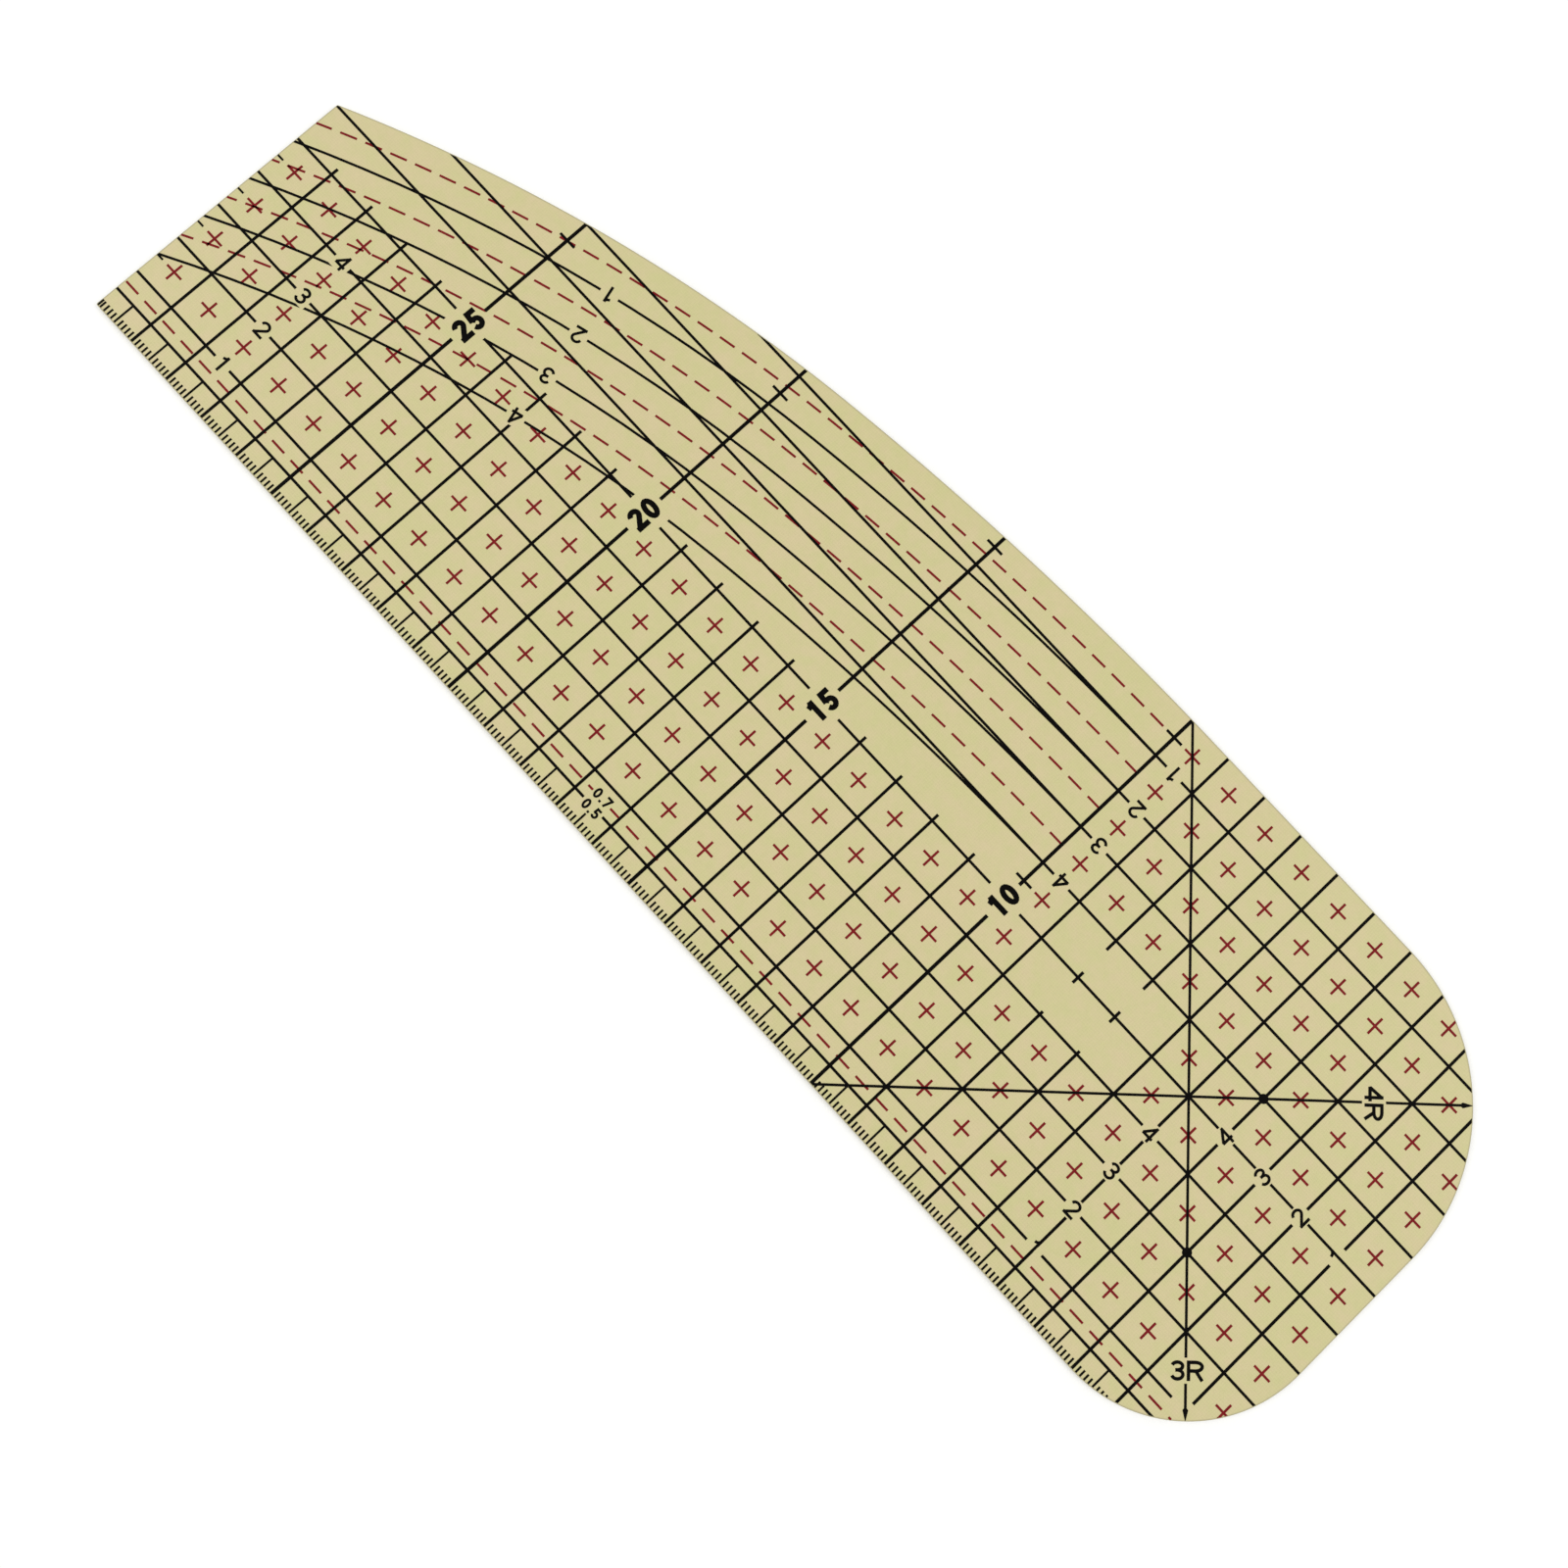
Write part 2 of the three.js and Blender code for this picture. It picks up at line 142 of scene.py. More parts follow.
class PrintSettings(bpy.types.PropertyGroup):
    bare_rim: length("Bare Rim", "Unprinted margin along the cut edge", 0.0002)
    black_thickness: length("Black Thickness", "Height of the black ink", 0.000045)
    red_thickness: length("Red Thickness", "Height of the red ink, which lies under the black", 0.00004)
    tick_length: length("Tick Length", "Length of a millimetre tick", 0.0017)
    tick_line: length("Tick Line", "Width of a millimetre tick", 0.00040)
    numbered_ticks: IntProperty(
        name="Longer Tick Every", description="Ticks of this count have a longer line", default=5, min=2
    )
    cross_arm: length("Cross Arm", "Reach of a cross from its middle", 0.0020)
    cross_line: length("Cross Line", "Width of a cross's lines", 0.00046)
    dash_line: length("Dash Line", "Width of the dashed lines", 0.00044)
    seam_dash: length("Seam Dash", "Dash of the straight seam line", 0.00340)
    seam_dash_period: length("Seam Dash Period", "Spacing of the seam dashes", 0.005238)
    seam_dash_row: length("Seam Dash Row", "Distance of the seam dashes from the measuring edge", 0.00715)
    seam_dash_start: length("Seam Dash Start", "Distance of the first seam dash from the head", 0.00809)
    label_clearance: length("Label Clearance", "Gap between a dash and a numeral", 0.0004)
    hem_dash: length("Hem Dash", "Dash of the curved hem lines", 0.00347)
    hem_dash_period: length("Hem Dash Period", "Spacing of the hem dashes", 0.00525)
    black: colour("Black", "Black screen ink", (0.0026, 0.0023, 0.0020))
    red: colour("Red", "Red screen ink", (0.160, 0.0095, 0.012))


class StageSettings(bpy.types.PropertyGroup):
    floor_colour: colour("Floor Colour", "Plain pale table", (0.90, 0.90, 0.89))
    sky_strength: FloatProperty(name="Sky Strength", description="Even light from all round", default=0.68)
    softbox_power: FloatProperty(
        name="Softbox Power", description="Power of each softbox", default=8.4, unit="POWER"
    )
    camera_offset: FloatVectorProperty(
        name="Camera Offset",
        description="Camera's place from the middle of the sheet's top face",
        default=(0.012008, -0.029671, 0.195675),
        subtype="TRANSLATION",
        unit="LENGTH",
    )
    camera_turn: FloatVectorProperty(
        name="Camera Turn",
        description="Camera's tilt off the vertical and its turn about it",
        default=(math.radians(4.0285), math.radians(-1.7812), math.radians(47.2191)),
        subtype="EULER",
    )
    camera_lens: FloatProperty(
        name="Camera Lens", description="Focal length", default=23.96, unit="CAMERA"
    )


# ---- Outline ----


def hem_arcs(inset, end_x):
    """The hem edge's two arcs at an inset, the second as far as end_x: (centre, radius, from, to)."""
    s = bpy.context.scene.ruler_sheet
    first = Vector((SHEET_HIGH.x - s.hem_curve_start, SHEET_HIGH.y - s.first_hem_radius))
    out = Vector((-math.sin(s.first_hem_turn), math.cos(s.first_hem_turn)))
    second = first + out * (s.first_hem_radius - s.second_hem_radius)
    reach = s.second_hem_radius - inset
    end = QUARTER + math.asin((second.x - end_x) / reach)
    turned = QUARTER + s.first_hem_turn
    return [
        (first, s.first_hem_radius - inset, QUARTER, turned),
        (second, reach, turned, end),
    ]


def points_on(arcs, steps):
    """Points along a run of arcs, each given its own number of steps."""
    points = []
    for (centre, radius, start, end), count in zip(arcs, steps):
        for i in range(count + 1):
            angle = start + (end - start) * i / count
            points.append(centre + radius * Vector((math.cos(angle), math.sin(angle))))
    return points


def without_doubles(points):
    """The same points, less those that lie on the one before, where two arcs meet."""
    kept = points[:1]
    kept += [point for before, point in zip(points, points[1:]) if (point - before).length > SAME_PLACE]
    return kept


def first_arc_point(inset, x):
    """Where a line at that inset from the hem edge crosses x, on its first arc."""
    centre, radius, _, _ = hem_arcs(inset, x)[0]
    return Vector((x, centre.y + math.sqrt(radius**2 - (x - centre.x) ** 2)))


def outline(inset):
    """The sheet's outline, moved in by inset, as points that run anticlockwise. Every inset gives
    the same number of points, so that two outlines can be joined by a strip of faces."""
    s = bpy.context.scene.ruler_sheet
    blunt = max(s.tail_corner_radius, inset)
    tail = SHEET_LOW.x + blunt
    first, second = hem_arcs(inset, tail)
    tail_centre = points_on([hem_arcs(blunt, tail)[1]], [1])[-1]
    lower = Vector((SHEET_HIGH.x - s.lower_head_radius, SHEET_LOW.y + s.lower_head_radius))
    upper = Vector((SHEET_HIGH.x - s.upper_head_radius, SHEET_HIGH.y - s.upper_head_radius))
    arcs = [
        (Vector((tail, SHEET_LOW.y + blunt)), blunt - inset, -2 * QUARTER, -QUARTER),
        (lower, s.lower_head_radius - inset, -QUARTER, 0),
        (upper, s.upper_head_radius - inset, 0, QUARTER),
        first,
        second,
        (tail_centre, blunt - inset, second[3], 2 * QUARTER),
    ]
    steps = [TAIL_CORNER_STEPS, HEAD_CORNER_STEPS, HEAD_CORNER_STEPS, *HEM_STEPS, TAIL_CORNER_STEPS]
    return points_on(arcs, steps)


# ---- Meshes ----


def add_object(name, mesh):
    made = bpy.data.objects.new(name, mesh)
    bpy.context.scene.collection.objects.link(made)
    return made


def stack_of_rings(name, rings, rim_values):
    """A closed solid whose skin joins each ring of points to the next, with flat ends. The rim
    attribute takes one value for each ring."""
    mesh = bpy.data.meshes.new(name)
    shape = bmesh.new()
    layer = shape.verts.layers.float.new(RIM_ATTRIBUTE)
    made = []
    for ring, value in zip(rings, rim_values):
        made.append([shape.verts.new(point) for point in ring])
        for vert in made[-1]:
            vert[layer] = value
    count = len(rings[0])
    for low, high in zip(made, made[1:]):
        for i in range(count):
            j = (i + 1) % count
            face = shape.faces.new((low[i], low[j], high[j], high[i]))
            face.smooth = True
    shape.faces.new(reversed(made[0]))
    shape.faces.new(made[-1])
    bmesh.ops.remove_doubles(shape, verts=shape.verts, dist=1e-7)
    bmesh.ops.recalc_face_normals(shape, faces=shape.faces)
    shape.to_mesh(mesh)
    shape.free()
    return mesh


def settle(piece):
    """Hands a finished piece to the frame: the body it rides on."""
    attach(piece, BODY)


# ---- Node helpers ----


def add_node(tree, kind, inputs=None, **settings):
    """A node with its settings and its inputs, each a plain value or another node's socket."""
    made = tree.nodes.new(kind)
    for name, value in settings.items():
        setattr(made, name, value)
    for name, value in (inputs or {}).items():
        if isinstance(value, bpy.types.NodeSocket):
            tree.links.new(value, made.inputs[name])
        else:
            made.inputs[name].default_value = value
    return made


def calc(tree, operation, *values):
    """One step of arithmetic."""
    return add_node(tree, "ShaderNodeMath", dict(enumerate(values)), operation=operation).outputs[0]


def vector(tree, x, y, z):
    return add_node(tree, "ShaderNodeCombineXYZ", {"X": x, "Y": y, "Z": z}).outputs[0]


def blend_colours(tree, factor, first, second):
    made = add_node(tree, "ShaderNodeMix", {"Factor": factor}, data_type="RGBA")
    for socket, value in zip((made.inputs[6], made.inputs[7]), (first, second)):
        if isinstance(value, bpy.types.NodeSocket):
            tree.links.new(value, socket)
        else:
            socket.default_value = (*value, 1)
    return made.outputs[2]


def contrast(tree, value, low, high):
    """Stretches the part of a value from low to high over 0 to 1."""
    return add_node(
        tree,
        "ShaderNodeMapRange",
        {"Value": value, "From Min": low, "From Max": high},
        interpolation_type="SMOOTHSTEP",
    ).outputs["Result"]


def noise(tree, place, size, detail=2.0, roughness=0.5):
    """Noise whose patches are about size across."""
    inputs = {"Vector": place, "Scale": 1 / size, "Detail": detail, "Roughness": roughness}
    return add_node(tree, "ShaderNodeTexNoise", inputs).outputs["Fac"]


# ---- Materials ----


def new_material(name):
    """An empty node material, its shader and the piece's own coordinates."""
    material = bpy.data.materials.new(name)
    material.use_nodes = True
    tree = material.node_tree
    shader = tree.nodes["Principled BSDF"]
    place = add_node(tree, "ShaderNodeTexCoord").outputs["Object"]
    return material, tree, shader, place


def weave_height(tree, place, pitch):
    """Height of a plain weave, from 0 in the holes to 1 on the crowns of the yarns."""
    axes = add_node(tree, "ShaderNodeSeparateXYZ", {"Vector": place})
    across = calc(tree, "MULTIPLY", axes.outputs["X"], math.pi / pitch)
    along = calc(tree, "MULTIPLY", axes.outputs["Y"], math.pi / pitch)
    warp = calc(tree, "ABSOLUTE", calc(tree, "SINE", across))
    weft = calc(tree, "ABSOLUTE", calc(tree, "SINE", along))
    flat = vector(tree, axes.outputs["X"], axes.outputs["Y"], pitch / 2)
    over = add_node(tree, "ShaderNodeTexChecker", {"Vector": flat, "Scale": 1 / pitch})
    mix = add_node(tree, "ShaderNodeMix", {"Factor": over.outputs["Fac"], 2: warp, 3: weft})
    return mix.outputs[0]


def laminate_material(settings):
    """Glass cloth under matt resin: a faint weave, soft mottling, and plies in the cut edge. The cut edge
    and a thin band beside it are darkened as painted edge shade.
    """
    material, tree, shader, place = new_material("heat_proof_laminate")
    broad = noise(tree, place, size=0.030, detail=1.0)
    mottle = noise(tree, place, size=0.0032, detail=3.0, roughness=0.6)
    flecks = noise(tree, place, size=0.0007, detail=1.0)
    weave = weave_height(tree, place, settings.weave_pitch)
    rim = add_node(tree, "ShaderNodeAttribute", attribute_name=RIM_ATTRIBUTE).outputs["Fac"]

    tone = calc(tree, "MULTIPLY_ADD", broad, 0.35, calc(tree, "MULTIPLY", mottle, 0.75))
    warmth = contrast(tree, tone, low=0.30, high=0.80)
    resin = blend_colours(tree, warmth, settings.cool_tone, settings.warm_tone)
    lightness = calc(
        tree,
        "ADD",
        calc(tree, "MULTIPLY_ADD", weave, 0.05, 0.955),
        calc(tree, "MULTIPLY_ADD", flecks, 0.06, -0.03),
    )
    cloth = add_node(tree, "ShaderNodeVectorMath", {0: resin}, operation="SCALE")
    tree.links.new(lightness, cloth.inputs["Scale"])
    height = add_node(tree, "ShaderNodeSeparateXYZ", {"Vector": place}).outputs["Z"]
    plies = calc(tree, "SINE", calc(tree, "MULTIPLY", height, 2 * math.pi / settings.ply_pitch))
    cut_light = calc(tree, "MULTIPLY_ADD", plies, 0.16, 0.98)
    cut = add_node(tree, "ShaderNodeVectorMath", {0: (*settings.cut_and_shade_tone,)}, operation="SCALE")
    tree.links.new(cut_light, cut.inputs["Scale"])
    # Painted edge shade: the cut edge and the thin band beside it turn to the darker cut tone, over the
    # edge's plies.
    cut_and_shade_mask = calc(tree, "MULTIPLY", rim, calc(tree, "MULTIPLY_ADD", mottle, 0.5, 0.7))
    skin = blend_colours(
        tree, calc(tree, "MINIMUM", cut_and_shade_mask, 1.0), cloth.outputs["Vector"], cut.outputs["Vector"]
    )
    tree.links.new(skin, shader.inputs["Base Color"])

    dull = calc(tree, "MULTIPLY_ADD", mottle, 0.14, 0.50)
    tree.links.new(calc(tree, "MULTIPLY_ADD", rim, 0.15, dull), shader.inputs["Roughness"])
    shader.inputs["Specular IOR Level"].default_value = 0.35
    relief = calc(tree, "ADD", weave, calc(tree, "MULTIPLY", flecks, 0.6))
    bump = add_node(tree, "ShaderNodeBump", {"Height": relief, "Strength": 0.5, "Distance": 0.00002})
    tree.links.new(bump.outputs["Normal"], shader.inputs["Normal"])
    return material


def ink_material(name, pigment, weave_pitch):
    """Screen ink: dense, with a slightly uneven film and a trace of the cloth under it."""
    material, tree, shader, place = new_material(name)
    film = noise(tree, place, size=0.0012, detail=3.0, roughness=0.65)
    grain = noise(tree, place, size=0.00022, detail=1.0)
    unevenness = calc(tree, "MULTIPLY_ADD", grain, 0.4, calc(tree, "MULTIPLY", film, 0.7))
    thin = contrast(tree, unevenness, low=0.45, high=0.85)
    lighter = [channel * 1.5 + 0.001 for channel in pigment]
    tree.links.new(blend_colours(tree, thin, pigment, lighter), shader.inputs["Base Color"])
    tree.links.new(calc(tree, "MULTIPLY_ADD", film, 0.25, 0.42), shader.inputs["Roughness"])
    shader.inputs["Specular IOR Level"].default_value = 0.02
    relief = calc(tree, "MULTIPLY_ADD", weave_height(tree, place, weave_pitch), 0.7, grain)
    bump = add_node(tree, "ShaderNodeBump", {"Height": relief, "Strength": 0.4, "Distance": 0.00001})
    tree.links.new(bump.outputs["Normal"], shader.inputs["Normal"])
    return material


def table_material(settings):
    """Plain pale table top."""
    material, tree, shader, place = new_material("pale_table")
    grain = noise(tree, place, size=0.004)
    darker = [channel * 0.985 for channel in settings.floor_colour]
    surface = blend_colours(tree, grain, settings.floor_colour, darker)
    tree.links.new(surface, shader.inputs["Base Color"])
    shader.inputs["Roughness"].default_value = 0.9
    shader.inputs["Specular IOR Level"].default_value = 0.1
    return material


def finish_named(name):
    """A material that an earlier operator made."""
    found = bpy.data.materials.get(name)
    if found is None:
        raise RuntimeError(f"{name} isn't there yet: prepare the inks first")
    return found


# ---- Geometry Nodes ----


def node_group(name, sockets, takes_geometry):
    """A Geometry Nodes tree with named inputs. Returns the tree and its input sockets by name."""
    tree = bpy.data.node_groups.new(name, "GeometryNodeTree")
    kinds = {
        "length": "NodeSocketFloat",
        "count": "NodeSocketInt",
        "place": "NodeSocketVector",
        "object": "NodeSocketObject",
        "ink": "NodeSocketMaterial",
    }
    if takes_geometry:
        tree.interface.new_socket("Geometry", in_out="INPUT", socket_type="NodeSocketGeometry")
    for label, kind in sockets.items():
        tree.interface.new_socket(label, in_out="INPUT", socket_type=kinds[kind])
    tree.interface.new_socket("Geometry", in_out="OUTPUT", socket_type="NodeSocketGeometry")
    return tree, add_node(tree, "NodeGroupInput").outputs


def end_tree(tree, geometry, ink):
    """Ends a tree in real geometry with its ink on it."""
    real = add_node(tree, "GeometryNodeRealizeInstances", {"Geometry": geometry})
    inked = add_node(
        tree, "GeometryNodeSetMaterial", {"Geometry": real.outputs[0], "Material": ink}
    )
    add_node(tree, "NodeGroupOutput", {"Geometry": inked.outputs[0]})


def instances(tree, points, block, **fields):
    inputs = {"Points": points, "Instance": block}
    inputs.update({name.capitalize(): field for name, field in fields.items()})
    return add_node(tree, "GeometryNodeInstanceOnPoints", inputs).outputs["Instances"]


def tick_tree():
    """A row of ticks along a straight edge whose end rounds off into a corner. The ticks' tops stay
    in line, and their feet follow the corner."""
    tree, given = node_group(
        "Millimetre Ticks",
        {
            "Tick Count": "count",
            "Longer Tick Every": "count",
            "Spacing": "length",
            "Scale Start": "length",
            "Scale End": "length",
            "Tick Top": "length",
            "Corner Centre": "place",
            "Corner Radius": "length",
            "Line Width": "length",
            "Ink Thickness": "length",
            "Ink": "ink",
        },
        False,
    )
    number = calc(tree, "ADD", add_node(tree, "GeometryNodeInputIndex").outputs[0], 1)
    centre = add_node(tree, "ShaderNodeSeparateXYZ", {"Vector": given["Corner Centre"]}).outputs
    half_line = calc(tree, "MULTIPLY", given["Line Width"], 0.5)
    plain_x = calc(tree, "SUBTRACT", given["Scale Start"], calc(tree, "MULTIPLY", number, given["Spacing"]))
    x = calc(tree, "MAXIMUM", plain_x, calc(tree, "ADD", given["Scale End"], half_line))
    past = calc(tree, "MAXIMUM", calc(tree, "SUBTRACT", x, centre["X"]), 0.0)
    square = calc(tree, "MULTIPLY", given["Corner Radius"], given["Corner Radius"])
    drop = calc(tree, "SQRT", calc(tree, "SUBTRACT", square, calc(tree, "MULTIPLY", past, past)))
    foot = calc(tree, "SUBTRACT", centre["Y"], drop)
    height = calc(tree, "SUBTRACT", given["Tick Top"], foot)
    middle = calc(tree, "MULTIPLY_ADD", height, 0.5, foot)
    lift = calc(tree, "MULTIPLY_ADD", given["Ink Thickness"], 0.5, centre["Z"])
    points = add_node(
        tree,
        "GeometryNodePoints",
        {"Count": given["Tick Count"], "Position": vector(tree, x, middle, lift)},
    )
    long_enough = calc(tree, "GREATER_THAN", height, half_line)
    remainder = calc(tree, "MODULO", number, given["Longer Tick Every"])
    own_line = calc(tree, "LESS_THAN", remainder, 0.5)
    not_last = calc(tree, "LESS_THAN", number, given["Tick Count"])
    taken = calc(tree, "MULTIPLY", own_line, not_last)
    shown = calc(tree, "GREATER_THAN", calc(tree, "SUBTRACT", long_enough, taken), 0.5)
    block = add_node(tree, "GeometryNodeMeshCube").outputs["Mesh"]
    ticks = instances(
        tree,
        points.outputs[0],
        block,
        selection=shown,
        scale=vector(tree, given["Line Width"], height, given["Ink Thickness"]),
    )
    end_tree(tree, ticks, given["Ink"])
    return tree


def cross_tree():
    """A cross on every point, cut off where it would run over the printed area's edge."""
    tree, given = node_group(
        "Centre Crosses",
        {
            "Arm": "length",
            "Line Width": "length",
            "Ink Thickness": "length",
            "Printed Area": "object",
            "Ink": "ink",
        },
        True,
    )
    span = calc(tree, "MULTIPLY", given["Arm"], 2.0)
    sizes = [
        vector(tree, span, given["Line Width"], given["Ink Thickness"]),
        vector(tree, given["Line Width"], span, given["Ink Thickness"]),
    ]
    join = add_node(tree, "GeometryNodeMeshBoolean", operation="UNION", solver="EXACT")
    for size in sizes:
        bar = add_node(tree, "GeometryNodeMeshCube", {"Size": size})
        tree.links.new(bar.outputs["Mesh"], join.inputs["Mesh 2"])
    crosses = instances(tree, given["Geometry"], join.outputs["Mesh"])
    real = add_node(tree, "GeometryNodeRealizeInstances", {"Geometry": crosses})
    area = add_node(tree, "GeometryNodeObjectInfo", {"Object": given["Printed Area"]})
    cut = add_node(tree, "GeometryNodeMeshBoolean", operation="INTERSECT", solver="EXACT")
    for mesh in (real.outputs[0], area.outputs["Geometry"]):
        tree.links.new(mesh, cut.inputs["Mesh 2"])
    end_tree(tree, cut.outputs["Mesh"], given["Ink"])
    return tree


def dash_tree():
    """Dashes along a path, cut off at its two ends and round one gap in it."""
    tree, given = node_group(
        "Dashed Line",
        {
            "Dash": "length",
            "Period": "length",
            "First Dash": "length",
            "Gap Start": "length",
            "Gap End": "length",
            "Line Width": "length",
            "Ink Thickness": "length",
            "Ink": "ink",
        },
        True,
    )
    path = add_node(tree, "GeometryNodeMeshToCurve", {"Mesh": given["Geometry"]}).outputs["Curve"]
    whole = add_node(tree, "GeometryNodeCurveLength", {"Curve": path}).outputs["Length"]
    room = calc(tree, "SUBTRACT", whole, given["First Dash"])
    count = calc(tree, "CEIL", calc(tree, "DIVIDE", room, given["Period"]))
    index = add_node(tree, "GeometryNodeInputIndex").outputs[0]
    begin = calc(tree, "MULTIPLY_ADD", index, given["Period"], given["First Dash"])
    start = calc(tree, "MAXIMUM", begin, 0.0)
    end = calc(tree, "MINIMUM", calc(tree, "ADD", begin, given["Dash"]), whole)

    def pushed(value, to):
        """The value, or `to` where the value falls in the gap."""
        over = calc(tree, "GREATER_THAN", value, given["Gap Start"])
        under = calc(tree, "LESS_THAN", value, given["Gap End"])
        inside = calc(tree, "MULTIPLY", over, under)
        return add_node(tree, "ShaderNodeMix", {"Factor": inside, 2: value, 3: to}).outputs[0]

    start = pushed(start, given["Gap End"])
    end = pushed(end, given["Gap Start"])
    dash = calc(tree, "SUBTRACT", end, start)
    middle = calc(tree, "MULTIPLY_ADD", dash, 0.5, start)
    spot = add_node(tree, "GeometryNodeSampleCurve", {"Curves": path, "Length": middle}, mode="LENGTH")
    points = add_node(
        tree, "GeometryNodePoints", {"Count": count, "Position": spot.outputs["Position"]}
    )
    heading = add_node(
        tree, "FunctionNodeAlignRotationToVector", {"Vector": spot.outputs["Tangent"]}, axis="X"
    )
    block = add_node(tree, "GeometryNodeMeshCube").outputs["Mesh"]
    dashes = instances(
        tree,
        points.outputs[0],
        block,
        selection=calc(tree, "GREATER_THAN", dash, given["Ink Thickness"]),
        rotation=heading.outputs[0],
        scale=vector(tree, dash, given["Line Width"], given["Ink Thickness"]),
    )
    end_tree(tree, dashes, given["Ink"])
    return tree


def grow(host, tree, values):
    """Runs a tree on a host object and leaves the result on it as a plain mesh."""
    modifier = host.modifiers.new(tree.name, "NODES")
    modifier.node_group = tree
    for item in tree.interface.items_tree:
        if item.in_out == "INPUT" and item.name in values:
            modifier[item.identifier] = values[item.name]
    depsgraph = bpy.context.evaluated_depsgraph_get()
    mesh = bpy.data.meshes.new_from_object(host.evaluated_get(depsgraph))
    host.modifiers.remove(modifier)
    if not mesh.polygons:
        raise RuntimeError(f"{tree.name} made no faces for {host.name}")
    mesh.name = host.name
    host.data = mesh
    return host


def path_object(name, points, height):
    """An object that holds a run of points as edges."""
    mesh = bpy.data.meshes.new(name)
    edges = [(i, i + 1) for i in range(len(points) - 1)]
    mesh.from_pydata([(p.x, p.y, height) for p in points], edges, [])
    return add_object(name, mesh)


# ---- Operators ----


class RULER_OT_inks(bpy.types.Operator):
    """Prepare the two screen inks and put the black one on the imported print"""

    bl_idname = "ruler.inks"
    bl_label = "Black Print"

    def execute(self, context):
        settings = context.scene.ruler_print
        pitch = context.scene.ruler_sheet.weave_pitch
        black = ink_material("black_screen_ink", settings.black, pitch)
        ink_material("red_screen_ink", settings.red, pitch)
        for name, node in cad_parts.items():
            if name != "ruler_sheet":
                node.data.materials.clear()
                node.data.materials.append(black)
        return {"FINISHED"}


class RULER_OT_sheet(bpy.types.Operator):
    """Build the die-cut laminate sheet with its soft cut edge"""

    bl_idname = "ruler.sheet"
    bl_label = "Laminate Sheet"

    def execute(self, context):
        settings = context.scene.ruler_sheet
        soft = settings.edge_softness
        # The rim value is 0 on the band's inner ring and 1 round the cut edge. It blends in the painted
        # edge shade.
        lower = [(settings.shaded_rim_band, 0.0, 0.0)]
        for i in range(EDGE_STEPS + 1):
            angle = QUARTER * i / EDGE_STEPS
            lower.append((soft * (1 - math.sin(angle)), soft * (1 - math.cos(angle)), 1.0))
        upper = [(inset, TOP - height, rim) for inset, height, rim in reversed(lower)]
        profile = lower + upper
        rings = [[(p.x, p.y, height) for p in outline(inset)] for inset, height, _ in profile]
        mesh = stack_of_rings("laminate_sheet", rings, [rim for _, _, rim in profile])
        mesh.materials.append(laminate_material(settings))
        piece = add_object("laminate_sheet", mesh)
        settle(piece)
        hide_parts("ruler_sheet")
        return {"FINISHED"}


class RULER_OT_ticks(bpy.types.Operator):
    """Print the millimetre ticks along the measuring edge"""

    bl_idname = "ruler.ticks"
    bl_label = "Millimetre Ticks"

    def execute(self, context):
        sheet, ink = context.scene.ruler_sheet, context.scene.ruler_print
        radius = sheet.lower_head_radius
        host = add_object("millimetre_ticks", bpy.data.meshes.new("millimetre_ticks"))
        values = {
            "Tick Count": round((SHEET_HIGH.x - SHEET_LOW.x) / MILLIMETRE),
            "Longer Tick Every": ink.numbered_ticks,
            "Spacing": MILLIMETRE,
            "Scale Start": SHEET_HIGH.x,
            "Scale End": SHEET_LOW.x + ink.bare_rim,
            "Tick Top": SHEET_LOW.y + ink.tick_length,
            "Corner Centre": (SHEET_HIGH.x - radius, SHEET_LOW.y + radius, TOP),
            "Corner Radius": radius - ink.bare_rim,
            "Line Width": ink.tick_line,
            "Ink Thickness": ink.black_thickness,
            "Ink": finish_named("black_screen_ink"),
        }
        settle(grow(host, tick_tree(), values))
        return {"FINISHED"}


def marked_cells():
    """Middles of the grid cells that hold a cross. The cells under the radius labels stay empty."""
    labels = [sum(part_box(f"radius_{side}_letter"), Vector()) / 2 for side in ("lower", "upper")]
    places = []
    for across in range(round((SHEET_HIGH.x - SHEET_LOW.x) / CENTIMETRE)):
        for up in range(1, round((SHEET_HIGH.y - SHEET_LOW.y) / CENTIMETRE)):
            x = SHEET_HIGH.x - (across + 0.5) * CENTIMETRE
            y = SHEET_LOW.y + (up + 0.5) * CENTIMETRE
            tail_side = up >= BASE_ROW and across >= HEAD_CELLS
            panel = up in PANEL_CELLS_UP and across in PANEL_CELLS_ACROSS
            labelled = any(math.hypot(x - at.x, y - at.y) < CENTIMETRE / 2 for at in labels)
            if not (tail_side or panel or labelled):
                places.append(Vector((x, y, TOP)))
    return places


class RULER_OT_crosses(bpy.types.Operator):
    """Print the red cross in the middle of each grid cell"""

    bl_idname = "ruler.crosses"
    bl_label = "Centre Crosses"

    def execute(self, context):
        ink = context.scene.ruler_print
        mesh = bpy.data.meshes.new("centre_crosses")
        lift = Vector((0, 0, ink.red_thickness / 2))
        mesh.from_pydata([place + lift for place in marked_cells()], [], [])
        host = add_object("centre_crosses", mesh)
        edge = outline(ink.bare_rim)
        rings = [[(p.x, p.y, height) for p in edge] for height in (TOP / 2, TOP * 2)]
        area = add_object("printed_area", stack_of_rings("printed_area", rings, (0, 0)))
        values = {
            "Arm": ink.cross_arm,
            "Line Width": ink.cross_line,
            "Ink Thickness": ink.red_thickness,
            "Printed Area": area,
            "Ink": finish_named("red_screen_ink"),
        }
        grow(host, cross_tree(), values)
        bpy.data.objects.remove(area)
        settle(host)
        return {"FINISHED"}


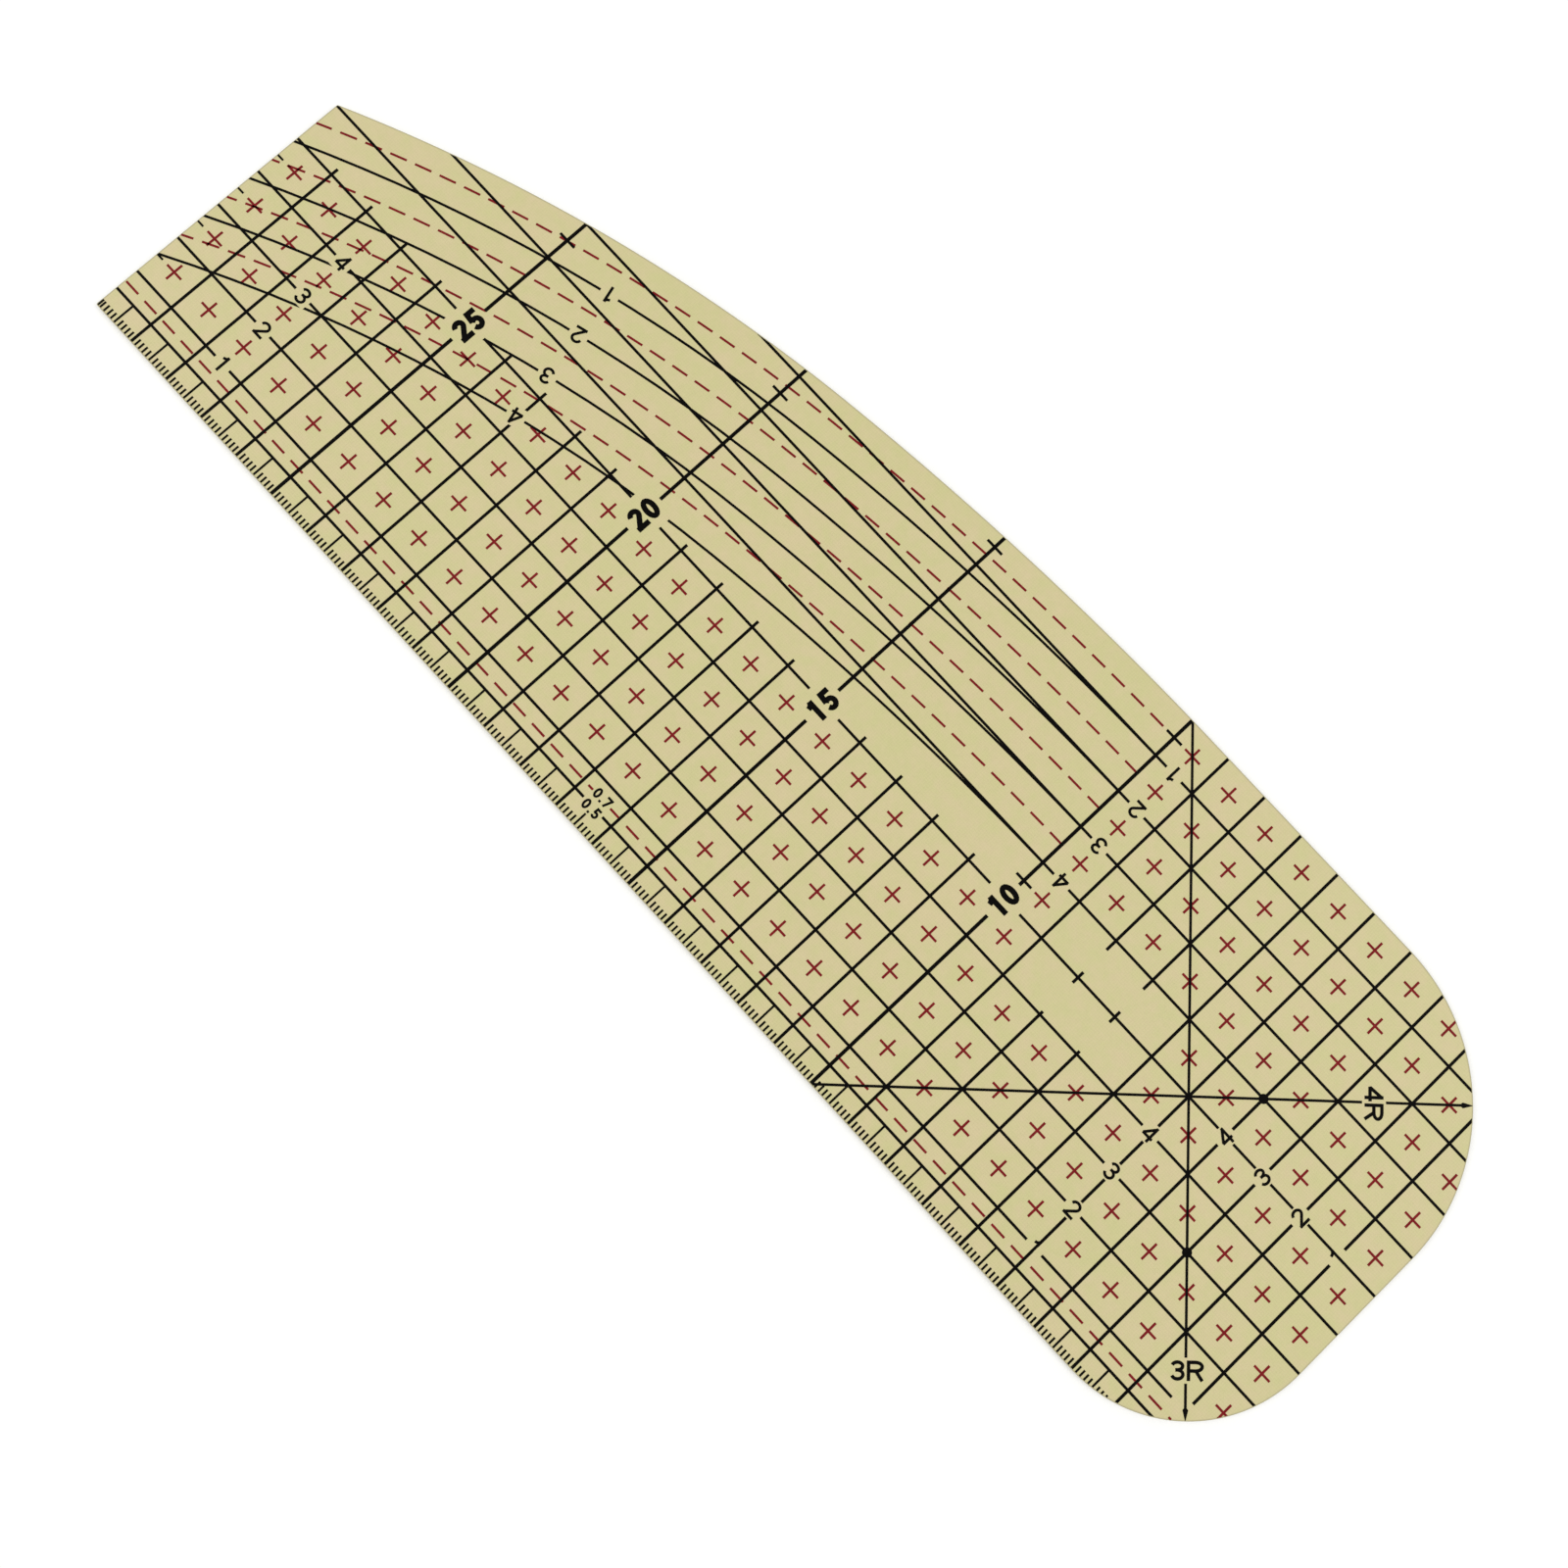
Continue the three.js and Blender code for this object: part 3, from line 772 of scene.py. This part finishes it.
class RULER_OT_dashes(bpy.types.Operator):
    """Print the red dashed lines: the straight seam line and the four curved hem lines"""

    bl_idname = "ruler.dashes"
    bl_label = "Dashed Lines"

    def execute(self, context):
        sheet, ink = context.scene.ruler_sheet, context.scene.ruler_print
        tree = dash_tree()
        shared = {
            "Line Width": ink.dash_line,
            "Ink Thickness": ink.red_thickness,
            "Ink": finish_named("red_screen_ink"),
        }
        lift = TOP + ink.red_thickness / 2
        tail = SHEET_LOW.x + ink.bare_rim

        row = SHEET_LOW.y + ink.seam_dash_row
        radius = sheet.lower_head_radius
        below = radius - ink.seam_dash_row
        reach = math.sqrt((radius - ink.bare_rim) ** 2 - below**2)
        start = SHEET_HIGH.x - radius + reach
        host = path_object("seam_dashes", [Vector((start, row)), Vector((tail, row))], lift)
        numeral_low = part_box("seam_07_digit_1")[0].x - ink.label_clearance
        numeral_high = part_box("seam_07_digit_3")[1].x + ink.label_clearance
        values = {
            "Dash": ink.seam_dash,
            "Period": ink.seam_dash_period,
            "First Dash": ink.seam_dash_start - (SHEET_HIGH.x - start),
            "Gap Start": start - numeral_high,
            "Gap End": start - numeral_low,
        }
        settle(grow(host, tree, {**shared, **values}))

        head_side = SHEET_HIGH.x - HEAD_CELLS * CENTIMETRE
        for number, first_dash in enumerate(HEM_DASH_STARTS, 1):
            inset = (number - 0.5) * CENTIMETRE
            points = without_doubles(points_on(hem_arcs(inset, tail), HEM_STEPS))
            past_head = [point for point in points if point.x < head_side]
            first_point = first_arc_point(inset, head_side)
            host = path_object(f"hem_dashes_{number}", [first_point, *past_head], lift)
            values = {
                "Dash": ink.hem_dash,
                "Period": ink.hem_dash_period,
                "First Dash": first_dash,
                "Gap Start": 0.0,
                "Gap End": 0.0,
            }
            settle(grow(host, tree, {**shared, **values}))
        return {"FINISHED"}


class RULER_OT_stage(bpy.types.Operator):
    """Set the pale table, the soft light and the camera"""

    bl_idname = "ruler.stage"
    bl_label = "Stage"

    def execute(self, context):
        settings = context.scene.ruler_stage
        mesh = bpy.data.meshes.new("table")
        corners = [(-1, -1), (1, -1), (1, 1), (-1, 1)]
        points = [(x * TABLE_HALF, y * TABLE_HALF, -TABLE_GAP) for x, y in corners]
        mesh.from_pydata(points, [], [(0, 1, 2, 3)])
        mesh.materials.append(table_material(settings))
        add_object("table", mesh)

        world = bpy.data.worlds.new("studio_air")
        world.use_nodes = True
        air = world.node_tree.nodes["Background"]
        air.inputs["Color"].default_value = (1, 1, 1, 1)
        air.inputs["Strength"].default_value = settings.sky_strength
        context.scene.world = world

        aim = Vector((MIDDLE.x, MIDDLE.y, TOP))
        for side, place in SOFTBOX_PLACES.items():
            light = bpy.data.lights.new(f"softbox_{side}", "AREA")
            light.shape = "SQUARE"
            light.size = SOFTBOX_SIZE
            light.energy = settings.softbox_power
            lamp = add_object(f"softbox_{side}", light)
            lamp.location = place
            lamp.rotation_euler = (aim - Vector(place)).to_track_quat("-Z", "Y").to_euler()

        camera_data = bpy.data.cameras.new("camera")
        camera_data.lens = settings.camera_lens
        camera_data.sensor_width = SENSOR_WIDTH
        camera_data.clip_start = NEAREST_SEEN
        camera = add_object("camera", camera_data)
        camera.location = aim + Vector(settings.camera_offset)
        camera.rotation_euler = settings.camera_turn
        context.scene.camera = camera
        context.scene.view_settings.view_transform = "Standard"
        return {"FINISHED"}


class RULER_PT_panel(bpy.types.Panel):
    """Buttons that build the ruler, in order, and the settings that they read"""

    bl_label = "Quilting Ruler"
    bl_idname = "RULER_PT_panel"
    bl_space_type = "VIEW_3D"
    bl_region_type = "UI"
    bl_category = "Ruler"

    def draw(self, context):
        for operator in OPERATORS:
            self.layout.operator(operator.bl_idname)
        for group in (context.scene.ruler_sheet, context.scene.ruler_print, context.scene.ruler_stage):
            box = self.layout.box()
            for name in group.__annotations__:
                box.prop(group, name)


GROUPS = {
    "ruler_sheet": SheetSettings,
    "ruler_print": PrintSettings,
    "ruler_stage": StageSettings,
}
OPERATORS = (
    RULER_OT_stage,
    RULER_OT_inks,
    RULER_OT_sheet,
    RULER_OT_ticks,
    RULER_OT_crosses,
    RULER_OT_dashes,
)


def register():
    for cls in (*GROUPS.values(), *OPERATORS, RULER_PT_panel):
        bpy.utils.register_class(cls)
    for name, group in GROUPS.items():
        setattr(bpy.types.Scene, name, PointerProperty(type=group))


def unregister():
    for name in GROUPS:
        delattr(bpy.types.Scene, name)
    for cls in reversed((*GROUPS.values(), *OPERATORS, RULER_PT_panel)):
        bpy.utils.unregister_class(cls)


def main():
    register()
    bpy.ops.ruler.stage()
    bpy.ops.ruler.inks()
    bpy.ops.ruler.sheet()
    bpy.ops.ruler.ticks()
    bpy.ops.ruler.crosses()
    bpy.ops.ruler.dashes()


if __name__ == "__main__":
    main()
